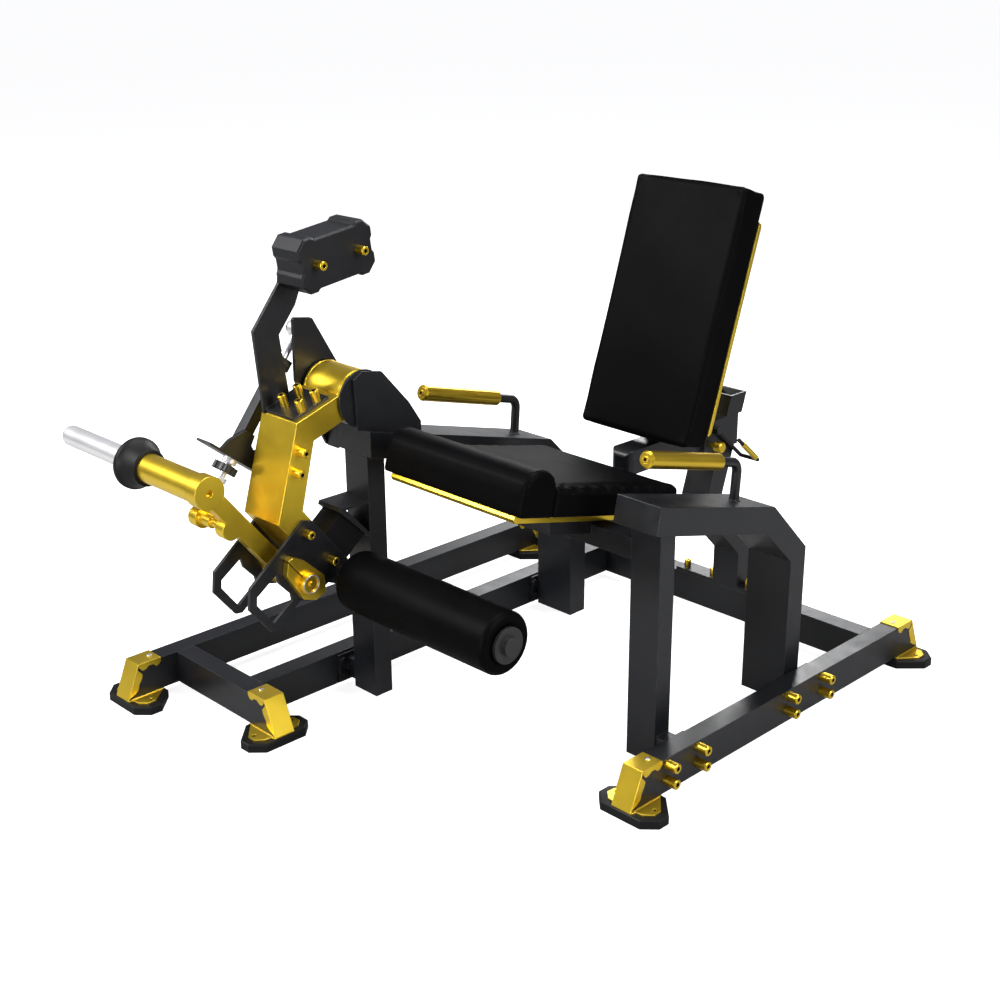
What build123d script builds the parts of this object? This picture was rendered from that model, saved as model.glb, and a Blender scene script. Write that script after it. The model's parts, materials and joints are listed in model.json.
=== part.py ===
from build123d import *
from math import atan2, cos, degrees, hypot, radians, sin
import os

# Leg extension machine, millimetres.
# Working axes: x = 0 at the outer face of the right outer rail and growing towards the user's left,
# y = 0 at the front face of the front cross-beam and growing towards the backrest, z = 0 on the floor.
# emit() moves every finished piece so that the origin is the floor centre of the footprint.
ORIGIN = (552.5, 646.0, 0.0)

# base frame
RAIL_W = 50.0
RAIL_Z = (25.5, 106.0)
WALL = 4.0
OUTER_X = 0.0
INNER_X = 285.0
LEFT_X = 1175.0
SEAT_X = 755.0                 # centre plane of the seat
CROSS_Y = 1252.0               # front face of the rear cross-beam
FRONT_FOOT_A_Y = -148.0
FRONT_FOOT_C_Y = 328.0
REAR_FOOT_D_Y = 1450.0
REAR_FOOT_E_Y = 1289.0
SIDE_FOOT_B_X = 450.0

# feet
PAD_T = 21.0
CAP_T = 3.0
CAP_TOP_Y = 39.0
CAP_END_Y = 102.0
SCREW_Y = 86.0

# pivot tower
POST_X = (376.0, 456.0)
POST_Y = (291.0, 341.0)
HUB = (286.0, 773.0)
PIVOT = (249.0, 909.0)
OUTER_PLATE_X = (304.0, 312.0)
INNER_PLATE_X = (455.0, 463.0)
SHAFT_R = 19.95
BEARING_BORE_R = 20.0
BEARING_R = 30.0
DRUM_R = 62.5
DRUM_X = (318.0, 446.0)

# swing arm
ARM_X = (321.0, 448.0)
PLATE_T = 8.0
LEVER_PIVOT = (94.0, 391.0)
ARM_V = (0.62, -0.785)         # down and back along the lower arm
ARM_U = (0.785, 0.62)          # up and back across it
ARM_TOP_SLOPE = radians(17.8)
ARM_CORNER = (107.0, 753.0)
PLATE_BORE_R = 15.0
LEVER_BORE_R = 15.05
ROLLER_UV = (77.0, 77.0)
ROLLER_R = 71.0
ROLLER_X = (515.0, 993.0)
AXLE_R = 12.0
RUNNING = 0.05

# counterweight
WEIGHT_X = (334.0, 424.0)
WEIGHT_CENTRE = (258.0, 1091.0)
WEIGHT_TILT = radians(8.0)

# loading lever
LEVER_X = (370.0, 400.0)
LEVER_DIR = (-0.62, 0.785)
HORN_REACH = 309.8
HORN_R = 25.0
HORN_TIP_X = -180.0
SPIGOT_R = 22.0
SLEEVE_R = 33.5
COLLAR_R = 60.0
COLLAR_X = 112.0               # face of the rubber collar that plates rest against
SLEEVE_X = 170.0

# link
LINK_X = 280.0
LINK_DIR = (-0.62, -0.785)
LINK_LENGTH = 476.0
LINK_TUBE = 28.0
PIN_R = 10.0
SCREW_R = 8.0

# seat
SEAT_DIR = radians(-14.0)
ROLL_CENTRE = (320.0, 663.0)
SEAT_HALF = 215.0
SEAT_REAR = 464.0

# backrest
BACK_DIR = (0.316, 0.949)      # up along the backrest
BACK_OUT = (0.949, -0.316)     # backwards out of it
SLIDE_Z = (535.0, 595.0)
SLIDE_HALF = 30.0
SLIDE_GAP = 0.3
SLIDE_TRAVEL = 100.0
POST_LEAN = 0.325

# arches and handles
ARCH_W = 120.0
ARCH_OUTER = [(484, 646), (880, 541), (1012, 408), (1012, 25.5)]
ARCH_INNER = [(956, 25.5), (956, 385), (855, 483), (471, 586)]
HANDLE_OFFSET = 345.0
FLANGE_T = 8.0
RIGHT_LEG_FLANGE_Y = (940.0, 1028.0)
POST_FLANGE_Y = (271.0, 361.0)
FRONT_LEG_FLANGE_Y = (435.0, 572.0)
LEFT_LEG_FLANGE_Y = (866.0, 1038.0)
HANDLE_R = 11.0
GRIP_R = 19.0

BOLT_R = 12.0
BOLT_LEN = 26.0


def block(x0, x1, y0, y1, z0, z1):
    """Box between two corners."""
    size = Box(x1 - x0, y1 - y0, z1 - z0)
    return Pos((x0 + x1) / 2, (y0 + y1) / 2, (z0 + z1) / 2) * size


def slab(points, x0, x1):
    """Outline in the (y, z) plane, extruded from x0 to x1."""
    face = Plane.YZ * make_face(Polyline(*points, close=True))
    return Pos(x0, 0, 0) * extrude(face, amount=x1 - x0, dir=(1, 0, 0))


def rounded_slab(points, radius, x0, x1):
    """Like slab, with every corner rounded."""
    face = Plane.YZ * make_face(FilletPolyline(*points, radius=radius, close=True))
    return Pos(x0, 0, 0) * extrude(face, amount=x1 - x0, dir=(1, 0, 0))


def disc(centre, radius, x0, x1):
    """Round bar along x through (y, z)."""
    bar = Cylinder(radius, x1 - x0, align=(Align.CENTER, Align.CENTER, Align.MIN))
    return Pos(x0, centre[0], centre[1]) * Rot(0, 90, 0) * bar


def ring(centre, outer, inner, x0, x1):
    return disc(centre, outer, x0, x1) - disc(centre, inner, x0 - 1, x1 + 1)


def shifted(origin, direction, along, across=0.0):
    """Point at a distance along a unit direction of the (y, z) plane, and across it to its left."""
    return (
        origin[0] + along * direction[0] - across * direction[1],
        origin[1] + along * direction[1] + across * direction[0],
    )


def arm_point(u, v):
    return (
        LEVER_PIVOT[0] + u * ARM_U[0] + v * ARM_V[0],
        LEVER_PIVOT[1] + u * ARM_U[1] + v * ARM_V[1],
    )


def arm_outline(*pairs):
    return [arm_point(u, v) for u, v in pairs]


def seat_point(s, n):
    return shifted(ROLL_CENTRE, (cos(SEAT_DIR), sin(SEAT_DIR)), s, n)


def back_point(t, n):
    return (t * BACK_DIR[0] + n * BACK_OUT[0], t * BACK_DIR[1] + n * BACK_OUT[1])


def rod_along(start, direction, radius, length, x):
    """Round bar in the plane x, from start along a (y, z) direction."""
    bar = Cylinder(radius, length, align=(Align.CENTER, Align.CENTER, Align.MIN))
    base = Plane(origin=(x, start[0], start[1]), x_dir=(1, 0, 0), z_dir=(0, *direction))
    return base * bar


def box_along(start, direction, half_x, half, length, x):
    """Square bar in the plane x, from start along a (y, z) direction."""
    bar = Box(2 * half_x, 2 * half, length, align=(Align.CENTER, Align.CENTER, Align.MIN))
    base = Plane(origin=(x, start[0], start[1]), x_dir=(1, 0, 0), z_dir=(0, *direction))
    return base * bar


def socket_bolt(radius=BOLT_R, length=BOLT_LEN, shank=0.0):
    """Long-headed socket bolt along +Z, standing on z = 0, with an optional shank below."""
    head = Cylinder(radius, length, align=(Align.CENTER, Align.CENTER, Align.MIN))
    head = chamfer(head.edges().group_by(Axis.Z)[-1], 1.5)
    recess = extrude(RegularPolygon(radius * 0.5, 6), amount=radius * 0.8)
    head -= Pos(0, 0, length - radius * 0.8) * recess
    if shank:
        head += Pos(0, 0, -shank) * Cylinder(
            radius * 0.5, shank, align=(Align.CENTER, Align.CENTER, Align.MIN)
        )
    return head


def bolt_x(x, centre, radius=BOLT_R, length=BOLT_LEN):
    """Socket bolt whose head stands on the plane x and points along +X."""
    return Pos(x, centre[0], centre[1]) * Rot(0, 90, 0) * socket_bolt(radius, length)


def emit(name, *shapes):
    """Write one node: one solid, or a group of separate solids."""
    moved = [Pos(-ORIGIN[0], -ORIGIN[1], -ORIGIN[2]) * shape for shape in shapes]
    solids = [solid for shape in moved for solid in shape.solids()]
    export_step(solids[0] if len(solids) == 1 else Compound(children=solids), f"parts/{name}.step")


# ---------------------------------------------------------------- base frame

FEET = [
    (OUTER_X + RAIL_W / 2, FRONT_FOOT_A_Y, 0),
    (INNER_X + RAIL_W / 2, None, 0),
    (LEFT_X + RAIL_W / 2, FRONT_FOOT_C_Y, 0),
    (LEFT_X + RAIL_W / 2, REAR_FOOT_D_Y, 180),
    (OUTER_X + RAIL_W / 2, REAR_FOOT_E_Y, 180),
]


def foot_places():
    """Place of each foot: its pad's outer edge, with the rail running along local +Y."""
    places = []
    for x, y, turn in FEET:
        if y is None:
            places.append(Pos(SIDE_FOOT_B_X, RAIL_W / 2, 0) * Rot(0, 0, 90))
        else:
            places.append(Pos(x, y, 0) * Rot(0, 0, turn))
    return places


def foot_pad():
    outline = [(-55, 0), (55, 0), (85, 29), (85, 59), (34, 110), (-34, 110), (-85, 59), (-85, 29)]
    pad = extrude(make_face(Polyline(*outline, close=True)), amount=PAD_T, dir=(0, 0, 1))
    return chamfer(pad.edges().group_by(Axis.Z)[-1], 2.5)


def foot_cap():
    """Bent end cap: sloped face, top flange, scalloped side lips and the base plate with its wings."""
    top = RAIL_Z[1] + CAP_T
    plate_z = RAIL_Z[0] - PAD_T
    wings = [(27, 4), (31, 16), (49, 18), (66, 35), (65, 56), (27, 100)]
    base = Polyline(*wings, *[(-x, y) for x, y in reversed(wings)], close=True)
    plate = extrude(make_face(base), amount=plate_z - 1.5, dir=(0, 0, 1))
    plate -= [Pos(side * 53, 50, 0) * Cylinder(4.5, 20) for side in (-1, 1)]
    cap = Pos(0, 0, PAD_T) * plate + block(-27, 27, 14, 104, PAD_T + plate_z - 1.5, RAIL_Z[0])
    band = [
        (CAP_END_Y, RAIL_Z[1]), (CAP_END_Y, top), (CAP_TOP_Y, top), (4, PAD_T + 3), (8, PAD_T + 3),
        (CAP_TOP_Y + 2, RAIL_Z[1]),
    ]
    cap += slab(band, -27, 27)
    top_lip = [
        (CAP_TOP_Y, top), (CAP_END_Y, top), (CAP_END_Y, 99), (96, 92), (88, 90), (80, 97), (69, 98),
        (58, 91), (50, 90), (43, 98),
    ]
    slope_lip = [
        (34.5, 98), (49, 81), (46, 70), (38, 58), (34, 44), (24, 36), (12, 31), (6, 29),
    ]
    for x in (-27, 25):
        cap += slab(top_lip, x, x + 2)
        cap += slab(slope_lip, x, x + 2)
    return cap - Pos(0, SCREW_Y, 100) * Cylinder(3.1, 30)


def foot_screw():
    """Round-head screw through the cap's top flange and the rail's top wall."""
    top = RAIL_Z[1] + CAP_T
    head = Pos(0, SCREW_Y, top) * Cylinder(6, 3.2, align=(Align.CENTER, Align.CENTER, Align.MIN))
    head = fillet(head.edges().group_by(Axis.Z)[-1], 2)
    head -= Pos(0, SCREW_Y, top + 2) * Cylinder(2, 4, align=(Align.CENTER, Align.CENTER, Align.MIN))
    return head + Pos(0, SCREW_Y, top - 8) * Cylinder(3, 8, align=(Align.CENTER, Align.CENTER, Align.MIN))


def foot_holes():
    return [place * Pos(0, SCREW_Y, RAIL_Z[1]) * Cylinder(3.1, 20) for place in foot_places()]


def rail_y(x, front, rear, front_slope, rear_slope):
    """Hollow rail along y; a sloped end is cut to follow its cap."""
    low, high = RAIL_Z
    outline = [
        (front - front_slope, low), (front, high), (rear, high), (rear + rear_slope, low),
    ]
    tube = slab(outline, x, x + RAIL_W)
    bore = block(x + WALL, x + RAIL_W - WALL, front - 99, rear + 99, low + WALL, high - WALL)
    return tube - bore - foot_holes()


def beam_x(x0, x1, y0, slope):
    """Hollow beam along x, 50 mm wide from y0, with an optional sloped +X end."""
    low, high = RAIL_Z
    outline = [(x0, low), (x1 + slope, low), (x1, high), (x0, high)]
    face = Plane.XZ * make_face(Polyline(*outline, close=True))
    beam = Pos(0, y0 + RAIL_W, 0) * extrude(face, amount=RAIL_W, dir=(0, -1, 0))
    bore = block(x0 - 9, x1 + 99, y0 + WALL, y0 + RAIL_W - WALL, low + WALL, high - WALL)
    return beam - bore - foot_holes()


def base_frame():
    slope = 31.0
    reach = 41.0
    emit("right_outer_rail", rail_y(OUTER_X, FRONT_FOOT_A_Y + reach, REAR_FOOT_E_Y - reach, slope, slope))
    emit("right_inner_rail", rail_y(INNER_X, RAIL_W, CROSS_Y, 0, 0))
    emit("left_rail", rail_y(LEFT_X, FRONT_FOOT_C_Y + reach, REAR_FOOT_D_Y - reach, slope, slope))
    emit("front_cross_beam", beam_x(RAIL_W, SIDE_FOOT_B_X - reach, 0, slope))
    tie = block(RAIL_W, INNER_X, CROSS_Y, CROSS_Y + RAIL_W, RAIL_Z[0], RAIL_Z[0] + 21)
    tie -= foot_places()[-1] * foot_cap()
    emit("rear_cross_beam", beam_x(INNER_X, LEFT_X, CROSS_Y, 0) + tie)
    emit("foot_pads", *[place * foot_pad() for place in foot_places()])
    emit("foot_caps", *[place * foot_cap() for place in foot_places()])
    emit("foot_screws", *[place * foot_screw() for place in foot_places()])


# ---------------------------------------------------------------- arches and handles

def arch_outline(front):
    """Arch profile from its square-cut front end to the foot of its rear leg."""
    if front is None:
        return ARCH_OUTER + ARCH_INNER
    (y0, z0), (y1, z1) = ARCH_OUTER[0], ARCH_OUTER[1]
    (y3, z3), (y2, z2) = ARCH_INNER[3], ARCH_INNER[2]
    upper = (front, z0 + (front - y0) * (z1 - z0) / (y1 - y0))
    lower = (front, z3 + (front - y3) * (z2 - z3) / (y2 - y3))
    return [upper] + ARCH_OUTER[1:] + ARCH_INNER[:3] + [lower]


def arch(x0, front=None):
    """Bent hollow box section, 120 mm wide."""
    outline = arch_outline(front)
    shell = slab(outline, x0, x0 + ARCH_W)
    cavity = offset(make_face(Polyline(*outline, close=True)), -WALL)
    inner = Pos(x0 + WALL, 0, 0) * extrude(Plane.YZ * cavity, amount=ARCH_W - 2 * WALL, dir=(1, 0, 0))
    foot = block(x0 + WALL, x0 + ARCH_W - WALL, 956 + WALL, 1012 - WALL, 0, 60)
    return shell - inner - foot


def leg_mount(x_leg, x_rail, y_leg, flange_y):
    """Stub and flange that join a leg to the rail beside it."""
    side = 1 if x_rail > x_leg else -1
    ends = sorted((x_leg, x_rail - side * FLANGE_T))
    flange = sorted((x_rail, x_rail - side * FLANGE_T))
    stub = block(*ends, y_leg - 20, y_leg + 20, 40, 92)
    return stub + block(*flange, *flange_y, 30, 102)


def arches():
    right_x = SEAT_X - HANDLE_OFFSET - ARCH_W / 2
    left_x = SEAT_X + HANDLE_OFFSET - ARCH_W / 2
    emit("right_arch", arch(right_x, POST_Y[0]) + leg_mount(right_x, INNER_X + RAIL_W, 984, RIGHT_LEG_FLANGE_Y))
    emit("left_arch", arch(left_x) + leg_mount(left_x + ARCH_W, LEFT_X, 984, LEFT_LEG_FLANGE_Y))
    leg = block(1054, 1134, 516, 564, RAIL_Z[0], 620) - block(1058, 1130, 520, 560, RAIL_Z[0] - 9, 625)
    leg -= slab(ARCH_OUTER + ARCH_INNER, 1000, 1200)
    leg -= slab([(484, 646), (880, 541), (880, 900), (484, 900)], 1000, 1200)
    emit("left_front_leg", leg + leg_mount(1134, LEFT_X, 540, FRONT_LEG_FLANGE_Y))
    for side, name in ((-1, "right"), (1, "left")):
        x = SEAT_X + side * HANDLE_OFFSET
        emit(f"{name}_handle", handle_tube(x))
        emit(f"{name}_grip", handle_grip(x))


GRIP_START = (500.0, 731.5)
HANDLE_BEND = (814.0, 648.0)
HANDLE_BASE = (806.0, 540.0)
GRIP_DIR = (0.9664, -0.257)
GRIP_LEN = 256.0


def handle_tube(x):
    start = shifted(GRIP_START, GRIP_DIR, 12)
    corners = [(x, *start), (x, *HANDLE_BEND), (x, *HANDLE_BASE)]
    path = FilletPolyline(*corners, radius=26)
    section = Plane(origin=corners[0], z_dir=(0, *GRIP_DIR)) * Circle(HANDLE_R)
    tube = sweep(section, path=path)
    return tube - slab([(484, 646), (880, 541), (880, 300), (484, 300)], x - 60, x + 60)


def handle_grip(x):
    grip = rod_along(GRIP_START, GRIP_DIR, GRIP_R, GRIP_LEN, x)
    grip = chamfer(grip.edges().filter_by(GeomType.CIRCLE), 4)
    grip -= rod_along(shifted(GRIP_START, GRIP_DIR, 12), GRIP_DIR, HANDLE_R, GRIP_LEN, x)
    return grip - rod_along(shifted(GRIP_START, GRIP_DIR, -1), GRIP_DIR, 8.5, 6, x)


# ---------------------------------------------------------------- pivot tower

def pivot_tower():
    x0, x1 = POST_X
    y0, y1 = POST_Y
    right_x = SEAT_X - HANDLE_OFFSET - ARCH_W / 2
    arch_shape = slab(arch_outline(y0), right_x, right_x + ARCH_W)
    post = block(x0, x1, y0, y1, RAIL_Z[0], 660)
    post -= block(x0 + WALL, x1 - WALL, y0 + WALL, y1 - WALL, RAIL_Z[0] + WALL, 670)
    post -= arch_shape
    post -= block(x0 - 9, x1 + 9, y0 - 9, y1 + 9, 634, 700)
    emit("pivot_post", post + leg_mount(x0, INNER_X + RAIL_W, (y0 + y1) / 2, POST_FLANGE_Y))
    emit("crosshead", block(OUTER_PLATE_X[1], right_x, y0, y1, 630, 690))
    outer = rounded_slab(
        [(212, 946), (265, 937), (332, 820), (345, 700), (341, 630), (291, 630), (258, 700), (210, 800)],
        6, *OUTER_PLATE_X,
    )
    outer -= disc(HUB, BEARING_BORE_R, 290, 330)
    pin = disc(PIVOT, 12, 262, OUTER_PLATE_X[0]) + disc(PIVOT, 17, 257, 262)
    pin += ring(PIVOT, 17, 11, 297, OUTER_PLATE_X[0])
    emit("yoke_outer_plate", outer + pin)
    inner = [(262, 704.8), (256, 823), (281, 838), (337, 827), (415, 739), (450, 686), (450, 655.0)]
    emit("yoke_inner_plate", slab(inner, *INNER_PLATE_X) - arch_shape)
    emit("bearing_housing", housing())
    emit("hub_shaft", disc(HUB, SHAFT_R, 298, INNER_PLATE_X[0]))
    stop_outline = [
        (206, 523), (210, 531), (291, 531), (291, 523), (224, 523), (291, 450), (291, 438),
    ]
    emit("stop_bracket", slab(stop_outline, *POST_X))
    bumper = slab(arm_outline((111.6, -20), (180, -20), (190, 75), (111.6, 75)), 380, 444)
    behind = [(206, 523), (291, 438), (400, 300), (500, 500), (291, 600), (206, 600)]
    emit("stop_bumper", bumper - slab(behind, 370, 460))


def housing():
    """Flanged bearing cover between the drum and the inner plate."""
    inner_x = INNER_PLATE_X[0]
    cover = disc(HUB, 60, DRUM_X[1] + 1, inner_x - 4) + disc(HUB, 66, inner_x - 4, inner_x)
    return cover - disc(HUB, BEARING_BORE_R, 400, 500)


# ---------------------------------------------------------------- swing arm

def arm_outline_points():
    slope = (cos(ARM_TOP_SLOPE), sin(ARM_TOP_SLOPE))
    top_end = shifted(ARM_CORNER, slope, 180)
    bottom_end = shifted(ARM_CORNER, slope, 180, -60)
    return [
        ARM_CORNER, top_end, bottom_end, (150, 704), arm_point(111, -115), arm_point(111, 60),
        arm_point(48, 60), arm_point(48, -144),
    ]


def arm_tube():
    points = arm_outline_points()
    shell = slab(points, *ARM_X)
    cavity = offset(make_face(Polyline(*points, close=True)), -5)
    inner = Pos(ARM_X[0] + 5, 0, 0) * extrude(
        Plane.YZ * cavity, amount=ARM_X[1] - ARM_X[0] - 10, dir=(1, 0, 0)
    )
    return shell - inner - disc(HUB, DRUM_R, 300, 470)


def hexagon_loop():
    return arm_outline(
        (-100, -76), (-34, -71), (-44, -48), (-41, -3), (-49, 11), (-115, 8), (-113, -62)
    )


def side_plate(x0):
    outline = arm_outline(
        (-133, -70), (-98, -105), (93, -105), (110, -82), (110, 85), (97, 102), (58, 102),
        (38, 64), (-18, 56), (-37, 30), (-120, 30), (-133, 17),
    )
    plate = slab(outline, x0, x0 + PLATE_T)
    plate -= slab(hexagon_loop(), x0 - 1, x0 + PLATE_T + 1)
    plate -= disc(LEVER_PIVOT, PLATE_BORE_R, x0 - 1, x0 + PLATE_T + 1)
    return plate - disc(arm_point(*ROLLER_UV), AXLE_R, x0 - 1, x0 + PLATE_T + 1)


def shaft_clamp(x0):
    outline = arm_outline(
        (2, -81), (14, -78), (29, -46), (39, 26), (15, 61), (-14, 51), (-33, 22), (-24, -57)
    )
    clamp = slab(outline, x0, x0 + 17)
    clamp -= disc(LEVER_PIVOT, PLATE_BORE_R, x0 - 1, x0 + 18)
    slit = slab(arm_outline((-1.5, -90), (1.5, -90), (1.5, 0), (-1.5, 0)), x0 - 1, x0 + 18)
    return clamp - slit


def lever_shaft():
    shaft = disc(LEVER_PIVOT, PLATE_BORE_R, ARM_X[0] - PLATE_T - 8, 476)
    shaft += disc(LEVER_PIVOT, 22, ARM_X[0] - PLATE_T - 14, ARM_X[0] - PLATE_T)
    cap = disc(LEVER_PIVOT, 25, 473.5, 488)
    cap = chamfer(cap.edges().filter_by(GeomType.CIRCLE), 2)
    cap -= disc(LEVER_PIVOT, 17, 486, 490)
    cap += disc(LEVER_PIVOT, 6, 485, 490)
    return shaft + cap


def roller_axle():
    centre = arm_point(*ROLLER_UV)
    axle = disc(centre, AXLE_R, ARM_X[0] - PLATE_T - 8, ROLLER_X[1] + 1)
    axle += disc(centre, 18, ARM_X[0] - PLATE_T - 10, ARM_X[0] - PLATE_T)
    return axle + disc(centre, 20, ARM_X[1] + PLATE_T, ROLLER_X[0] - 1)


def counterweight_arm():
    slope = (cos(ARM_TOP_SLOPE), sin(ARM_TOP_SLOPE))
    edge = ARM_CORNER
    outline = [
        shifted(edge, slope, -3), (88, 940), (164, 1035), (172, 1100), (205, 1125), (330, 1140),
        (340, 1085), (240, 1060), (204, 980), (156, 921), shifted(edge, slope, 72),
    ]
    plate = slab(outline, WEIGHT_X[0] - 8, WEIGHT_X[0])
    foot = [
        shifted(edge, slope, 2), shifted(edge, slope, 104), shifted(edge, slope, 104, 8),
        shifted(edge, slope, 2, 8),
    ]
    return plate + slab(foot, WEIGHT_X[0] - 8, ARM_X[1] - 10)


def weight_point(s, h):
    return shifted(WEIGHT_CENTRE, (cos(WEIGHT_TILT), sin(WEIGHT_TILT)), s, h)


def counterweight_block():
    half = [
        (54, -55), (62, -61), (82, -61), (103, -40), (103, -20), (98, -12), (98, 12), (103, 20),
        (103, 40), (82, 61), (62, 61), (54, 55),
    ]
    mirrored = [(-s, h) for s, h in reversed(half)]
    block_shape = slab([weight_point(s, h) for s, h in half + mirrored], *WEIGHT_X)
    return chamfer(block_shape.faces().sort_by(Axis.X)[-1].edges(), 4)


def arm_bolts():
    bolts = []
    slope = (cos(ARM_TOP_SLOPE), sin(ARM_TOP_SLOPE))
    for x in (367, 428):
        for along in (34, 78):
            y, z = shifted(ARM_CORNER, slope, along, 8)
            turn = Rot(degrees(ARM_TOP_SLOPE), 0, 0)
            bolts.append(Pos(x, y, z) * turn * socket_bolt(9.5, 28))
    for centre in ((111, 688), (97, 643)):
        bolts.append(bolt_x(ARM_X[1], centre, 10, 24))
    for s in (-58, 58):
        bolts.append(bolt_x(WEIGHT_X[1], weight_point(s, 0), 10, 26))
    for u, v in ((80, -75), (80, 28)):
        bolts.append(bolt_x(ARM_X[1] + PLATE_T, arm_point(u, v), 10, 22))
    return bolts


def swing_arm():
    emit("arm_tube", arm_tube())
    drum = ring(HUB, DRUM_R, BEARING_R, *DRUM_X)
    emit("hub_drum", drum)
    x0, x1 = DRUM_X
    emit("hub_bearings", *[ring(HUB, BEARING_R, BEARING_BORE_R, a, a + 16) for a in (x0, x1 - 16)])
    emit("counterweight_arm", counterweight_arm())
    emit("counterweight_block", counterweight_block())
    emit("arm_bolts", *arm_bolts())
    right_plate = side_plate(ARM_X[0] - PLATE_T)
    left_plate = side_plate(ARM_X[1])
    emit("right_side_plate", right_plate)
    emit("left_side_plate", left_plate)
    emit("lever_shaft", lever_shaft())
    emit("shaft_clamp", shaft_clamp(ARM_X[1] + PLATE_T))
    emit("roller_axle", roller_axle())
    centre = arm_point(*ROLLER_UV)
    roller = ring(centre, ROLLER_R, AXLE_R + RUNNING, *ROLLER_X)
    emit("ankle_roller", fillet(roller.edges().filter_by(GeomType.CIRCLE).group_by(SortBy.RADIUS)[-1], 12))
    cap = disc(centre, 40, ROLLER_X[1], 1001) - disc(centre, AXLE_R + RUNNING, 990, ROLLER_X[1] + 2)
    emit("roller_cap", cap + disc(centre, 21, 1001, 1012))


# ---------------------------------------------------------------- loading lever

def lever_point(a, b):
    """a runs from the lever's pivot to the horn, b to the front and down."""
    return shifted(LEVER_PIVOT, LEVER_DIR, a, b)


def loading_lever():
    horn_centre = lever_point(HORN_REACH, 0)
    pin_centre = shifted(PIVOT, LINK_DIR, LINK_LENGTH)
    x0, x1 = LEVER_X
    bar = slab([lever_point(*p) for p in ((-20, -20), (290, -20), (290, 20), (-20, 20))], x0, x1)
    lug = [(165, 0), (182, 38), (216, 38), (235, 0)]
    lever = bar + slab([lever_point(*p) for p in lug], x0, x1)
    lever += disc(pin_centre, 24, x0, x1)
    lever += disc(LEVER_PIVOT, 30, 345, 425)
    lever += disc(horn_centre, 38, x0 - 2, x1 + 4)
    lever -= disc(LEVER_PIVOT, LEVER_BORE_R, 300, 450)
    lever -= disc(horn_centre, 8, x1 - 8, x1 + 9)
    emit("horn_lever", lever)
    emit("horn_sleeve", disc(horn_centre, SLEEVE_R, SLEEVE_X, x0 - 2))
    cone = Cone(COLLAR_R, 42, 44, align=(Align.CENTER, Align.CENTER, Align.MIN))
    rim = Cylinder(COLLAR_R, 16, align=(Align.CENTER, Align.CENTER, Align.MIN))
    collar = Pos(COLLAR_X, *horn_centre) * Rot(0, 90, 0) * (rim + Pos(0, 0, 16) * cone)
    collar -= disc(horn_centre, SPIGOT_R, 100, 180)
    emit("horn_collar", collar - disc(horn_centre, SLEEVE_R, SLEEVE_X, 180))
    horn = disc(horn_centre, HORN_R, HORN_TIP_X, COLLAR_X)
    horn = fillet(horn.edges().filter_by(GeomType.CIRCLE).sort_by(Axis.X)[0], 16)
    emit("plate_horn", horn + disc(horn_centre, SPIGOT_R, COLLAR_X, SLEEVE_X))


# ---------------------------------------------------------------- link

def link_point(r, lateral):
    """r runs down the link from its top pin, lateral to the front and up."""
    return shifted(PIVOT, LINK_DIR, r, -lateral)


def link():
    pin_centre = link_point(LINK_LENGTH, 0)
    eye = ring(PIVOT, 22, 12 + RUNNING, 267, 293)
    rod = rod_along(link_point(20, 0), LINK_DIR, 10, 60, LINK_X)
    emit("link_rod", eye + rod)
    half = LINK_TUBE / 2
    tube = box_along(link_point(100, 0), LINK_DIR, half, half, 225, LINK_X)
    tube += box_along(link_point(76, 0), LINK_DIR, 17, 17, 26, LINK_X)
    tube += disc(link_point(88, 0), 7, 256, 303)
    tube -= box_along(link_point(110, 0), LINK_DIR, half - 3, half - 3, 208, LINK_X)
    tube -= rod_along(link_point(20, 0), LINK_DIR, 10, 60, LINK_X)
    emit("link_tube", tube)
    shelf = slab(
        [link_point(*p) for p in ((325, -85), (331, -85), (331, 85), (325, 85))], 250, 302
    )
    gusset = [(325, 52), (300, 44), (272, 24), (262, 16), (262, -14), (285, -18), (292, -30), (285, -44),
              (262, -50), (262, -76), (325, -80)]
    emit("link_bracket", shelf + slab([link_point(*p) for p in gusset], LINK_X + half, 302))
    screw = rod_along(link_point(331, 0), LINK_DIR, SCREW_R, 59, LINK_X)
    nut = Plane(
        origin=(LINK_X, *link_point(378, 0)), x_dir=(1, 0, 0), z_dir=(0, *LINK_DIR)
    ) * extrude(RegularPolygon(15, 6), amount=11)
    collar = rod_along(link_point(331, 0), LINK_DIR, 17, 12, LINK_X)
    emit("link_screw", screw + collar + nut)
    rod_end = rod_along(link_point(390, 0), LINK_DIR, 13, 68, LINK_X)
    rod_end += disc(pin_centre, 24, 266, 294)
    pin = disc(pin_centre, PIN_R, 262, LEVER_X[0] - 0.5) + disc(pin_centre, 17, 258, 266)
    pin += disc(pin_centre, 15, 294, 330)
    emit("link_rod_end", rod_end + pin)
    knob = star_knob()
    base = Plane(origin=(LINK_X, *link_point(347, 0)), x_dir=(1, 0, 0), z_dir=(0, *LINK_DIR))
    emit("star_knob", base * knob)


def star_knob():
    """Three-lobed hand knob on the link's screw."""
    height = 18.0
    knob = Cylinder(19, height, align=(Align.CENTER, Align.CENTER, Align.MIN))
    for turn in (30, 150, 270):
        lobe = Pos(12, 0, 0) * Box(24, 15, height, align=(Align.CENTER, Align.CENTER, Align.MIN))
        tip = Pos(23.5, 0, 0) * Cylinder(8.5, height, align=(Align.CENTER, Align.CENTER, Align.MIN))
        knob += Rot(0, 0, turn) * (lobe + tip)
    knob = chamfer(knob.edges().group_by(Axis.Z)[-1], 1.5)
    return knob - Cylinder(SCREW_R + RUNNING, 99)


# ---------------------------------------------------------------- seat

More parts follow.
